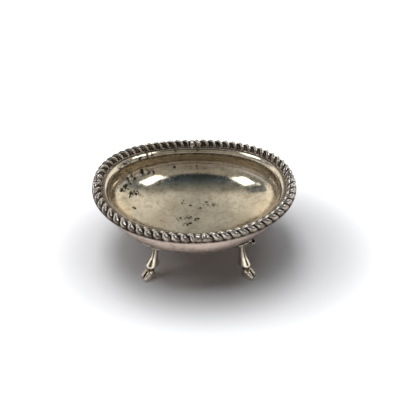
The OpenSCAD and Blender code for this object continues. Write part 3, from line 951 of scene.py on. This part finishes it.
studio = {
    "floorSize": 4.0,
    "paper": "f1f2f4",
    # from here outwards the paper is seen ever whiter, so that it has no horizon; the edge is an oval, a little to the
    # right
    "whiteEdge": (0.042, 0.118),
    "whiteOval": (0.92, 1.35, 1),
    "whiteShift": (-0.006, 0, 0),
    # a small lamp and a long one beside it, in metres and watts
    "lamps": [{"name": "overhead_small", "place": (-0.065, 0.02, 0.5), "length": 0.15, "width": 0.3, "power": 1.2},
              {"name": "overhead_long", "place": (-0.2, 0.02, 0.5), "length": 0.9, "width": 0.3, "power": 1.75}],
    "skyLight": 0.02,
    "skyTint": "b4d4ff",
    # the painted room: its colours from front to back, above and below the height at which the ceiling begins
    "roomLight": 1.35,
    "ceiling": [(0, "2b3238"), (0.25, "2b3339"), (0.345, "3f4850"), (0.43, "5c6266"), (0.5, "7a7a77"),
                (0.58, "8a8885"), (0.64, "a5a3a0"), (0.75, "a5a3a0")],
    "walls": [(0, "7a756f"), (0.09, "7a756f"), (0.15, "928e89"), (0.3, "8a8784"), (0.44, "6f7274"),
              (0.5, "6c7175"), (0.6, "a09e9c"), (0.66, "a5a3a0")],
    "ceilingEdge": (0.73, 0.83),
    # low down at the back it is greyer, and out to the sides there it is brighter, most of all low down
    "lowBack": {"tint": "85837f", "down": (0.56, 0.4), "back": (0.1, 0.4)},
    "farSides": {"high": "d3cfc9", "low": "eeeae3", "down": (0.5, 0.4), "back": (0.05, 0.3), "out": (0.04, 0.42)},
    "sideGlow": {"glow": 0.5, "out": (0.55, 0.85), "down": (0.5, 0.2)},
    # a grey screen and the softboxes, which only the silver mirrors
    "screen": {"azimuth": -80, "elevation": 38, "halfWidth": 0.18, "halfHeight": 0.25, "glow": 0.85},
    "screenTint": "4e545a",
    "boxes": [{"azimuth": 117, "elevation": 46, "halfWidth": 0.2, "halfHeight": 0.13, "glow": 3.0},
              {"azimuth": -105, "elevation": 44, "halfWidth": 0.17, "halfHeight": 0.15, "glow": 3.0},
              {"azimuth": -88, "elevation": 31, "halfWidth": 0.04, "halfHeight": 0.05, "glow": 1.3}],
    # how much larger and smaller than its size a softbox is where its soft edge begins and ends
    "softEdge": (1.15, 0.85),
}
# place in metres, turns in radians, and the focal length in pixels of a picture as wide as the frame
cameraView = {
    "place": (-6.762 * mm, -151.678 * mm, 164.475 * mm),
    "pan": 0.0606,
    "tilt": 0.7320,
    "roll": 0.01774,
    "focal": 462.963,
    "frameWidth": 400,
}


def paperFloor():
    # smooth white paper that keeps the salt's shadow and runs out into plain white
    material, tree = newMaterial("white_paper")
    ray = addNode(tree, "LightPath").outputs
    place = addNode(tree, "TexCoord").outputs["Object"]
    place = addNode(tree, "VectorMath", scaleAndAdd, place, studio["whiteOval"], studio["whiteShift"])
    outer = addNode(tree, "MapRange", smooth, addNode(tree, "VectorMath", lengthOf, place), *studio["whiteEdge"])
    looked = addNode(tree, "Math", larger, ray["Is Camera Ray"], ray["Is Glossy Ray"])
    glow = addNode(tree, "Emission", Strength=addNode(tree, "Math", multiply, outer, looked))
    paper = addNode(tree, "BsdfDiffuse", Color=hexColour(studio["paper"]))
    addNode(tree, "OutputMaterial", Surface=addNode(tree, "AddShader", None, paper, glow))
    return material


deselectAll()
bpy.ops.mesh.primitive_plane_add(size=studio["floorSize"])
floor = bpy.context.object
floor.name = "paper_floor"
dress(floor, paperFloor())


def addLamp(name, place, length, width, power):
    # a flat lamp over the table, looking straight down; the silver mirrors the painted room in its stead
    data = bpy.data.lights.new(name, "AREA")
    data.shape = "RECTANGLE"
    data.size = length
    data.size_y = width
    data.energy = power
    lamp = bpy.data.objects.new(name, data)
    bpy.context.scene.collection.objects.link(lamp)
    lamp.location = place
    lamp.visible_glossy = False


for lampSettings in studio["lamps"]:
    addLamp(**lampSettings)


def softboxGlow(tree, direction, box):
    # one painted softbox as the silver sees it, with soft edges
    a, e = math.radians(box["azimuth"]), math.radians(box["elevation"])
    toward = Vector((math.sin(a) * math.cos(e), math.cos(a) * math.cos(e), math.sin(e)))
    right = Vector((0, 0, 1)).cross(toward).normalized()
    shares = []
    for side, reach in ((right, box["halfWidth"]), (toward.cross(right), box["halfHeight"])):
        along = addNode(tree, "Math", absolute, addNode(tree, "VectorMath", dotProduct, direction, tuple(side)))
        shares.append(addNode(tree, "MapRange", smooth, along, *[reach * edge for edge in studio["softEdge"]]))
    ahead = addNode(tree, "VectorMath", dotProduct, direction, tuple(toward))
    lit = addNode(tree, "Math", multiply, *shares)
    lit = addNode(tree, "Math", multiply, lit, addNode(tree, "MapRange", smooth, ahead, 0, 0.1))
    return addNode(tree, "Math", multiply, lit, box["glow"])


def paintStudio():
    # white to the camera, a faint glow to the paper, and a painted room for the silver to mirror: light behind and
    # at both sides, dark overhead and on the camera's side
    world = bpy.data.worlds.new("studio_room")
    bpy.context.scene.world = world
    world.use_nodes = True
    tree = world.node_tree
    tree.nodes.clear()
    ray = addNode(tree, "LightPath").outputs
    direction = addNode(tree, "TexCoord").outputs["Generated"]
    x, y, z = addNode(tree, "SeparateXYZ", Vector=direction).outputs
    outward = addNode(tree, "Math", absolute, x)
    depth = addNode(tree, "Math", scaleAndAdd, y, 0.5, 0.5)
    ceiling, walls = [addNode(tree, "ValToRGB", {"stops": studio[name]}, depth) for name in ("ceiling", "walls")]
    room = addNode(tree, "Mix", colourMix, addNode(tree, "MapRange", smooth, z, *studio["ceilingEdge"]), walls, ceiling)
    low, far, side = studio["lowBack"], studio["farSides"], studio["sideGlow"]
    share = addNode(tree, "Math", multiply, addNode(tree, "MapRange", smooth, z, *low["down"]),
                    addNode(tree, "MapRange", smooth, y, *low["back"]))
    room = addNode(tree, "Mix", colourMix, share, room, hexColour(low["tint"]))
    share = addNode(tree, "Math", multiply, addNode(tree, "MapRange", smooth, outward, *far["out"]),
                    addNode(tree, "MapRange", smooth, y, *far["back"]))
    bright = addNode(tree, "Mix", colourMix, addNode(tree, "MapRange", smooth, z, *far["down"]), hexColour(far["high"]),
                     hexColour(far["low"]))
    room = addNode(tree, "Mix", colourMix, share, room, bright)
    screen = softboxGlow(tree, direction, studio["screen"])
    room = addNode(tree, "Mix", colourMix, screen, room, hexColour(studio["screenTint"]))
    share = addNode(tree, "Math", multiply, addNode(tree, "MapRange", smooth, outward, *side["out"]),
                    addNode(tree, "MapRange", smooth, z, *side["down"]))
    glows = [addNode(tree, "Math", multiply, share, side["glow"])]
    glows += [softboxGlow(tree, direction, box) for box in studio["boxes"]]
    for glow in glows:
        room = addNode(tree, "Mix", colourLighten, 1.0, room, glow)
    painted = addNode(tree, "Background", Color=room, Strength=studio["roomLight"])
    sky = addNode(tree, "Background", Color=hexColour(studio["skyTint"]), Strength=studio["skyLight"])
    white = addNode(tree, "Background", Color=(1, 1, 1, 1), Strength=1.0)
    unseen = addNode(tree, "MixShader", None, ray["Is Glossy Ray"], sky, painted)
    addNode(tree, "OutputWorld", Surface=addNode(tree, "MixShader", None, ray["Is Camera Ray"], unseen, white))


paintStudio()


def placeCamera():
    view = cameraView
    pan, tilt, roll = view["pan"], view["tilt"], view["roll"]
    forward = Vector((math.sin(pan) * math.cos(tilt), math.cos(pan) * math.cos(tilt), -math.sin(tilt)))
    right = Vector((math.cos(pan), -math.sin(pan), 0))
    up = right.cross(forward)
    across = math.cos(roll) * right + math.sin(roll) * up
    upward = -math.sin(roll) * right + math.cos(roll) * up
    data = bpy.data.cameras.new("camera")
    data.sensor_width = 36
    data.lens = view["focal"] / view["frameWidth"] * data.sensor_width
    data.clip_start = 1 * mm
    camera = bpy.data.objects.new("camera", data)
    bpy.context.scene.collection.objects.link(camera)
    turn = Matrix((across, upward, -forward)).transposed().to_4x4()
    camera.matrix_world = Matrix.Translation(view["place"]) @ turn
    bpy.context.scene.camera = camera


placeCamera()
bpy.context.scene.view_settings.view_transform = "Standard"

print("scene ready")
